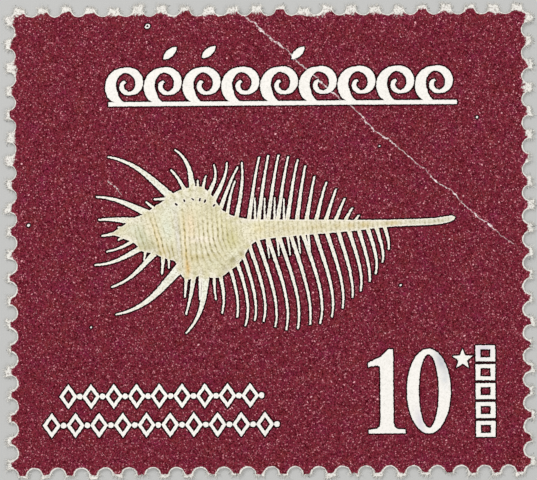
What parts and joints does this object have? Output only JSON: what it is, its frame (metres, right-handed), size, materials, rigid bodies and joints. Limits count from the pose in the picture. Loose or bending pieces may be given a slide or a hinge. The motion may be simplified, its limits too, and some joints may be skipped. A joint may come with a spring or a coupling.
{
  "type": "postage stamp",
  "caption": "Perforated postage stamp: one thin sheet of gummed paper with toothed edges, printed maroon with a pale spiny shell, and creased across one corner.",
  "frame": {"origin": "under the middle of the stamp, on the surface that its gummed back rests on", "axes": "+X to the right across the print, +Y up the print, +Z out of the printed face"},
  "size_m": [0.0328, 0.0292, 0.0002],
  "materials": {
    "printed_paper": "matte"
  },
  "bodies": {
    "root": {"stamp": "printed_paper"}
  },
  "joints": []
}
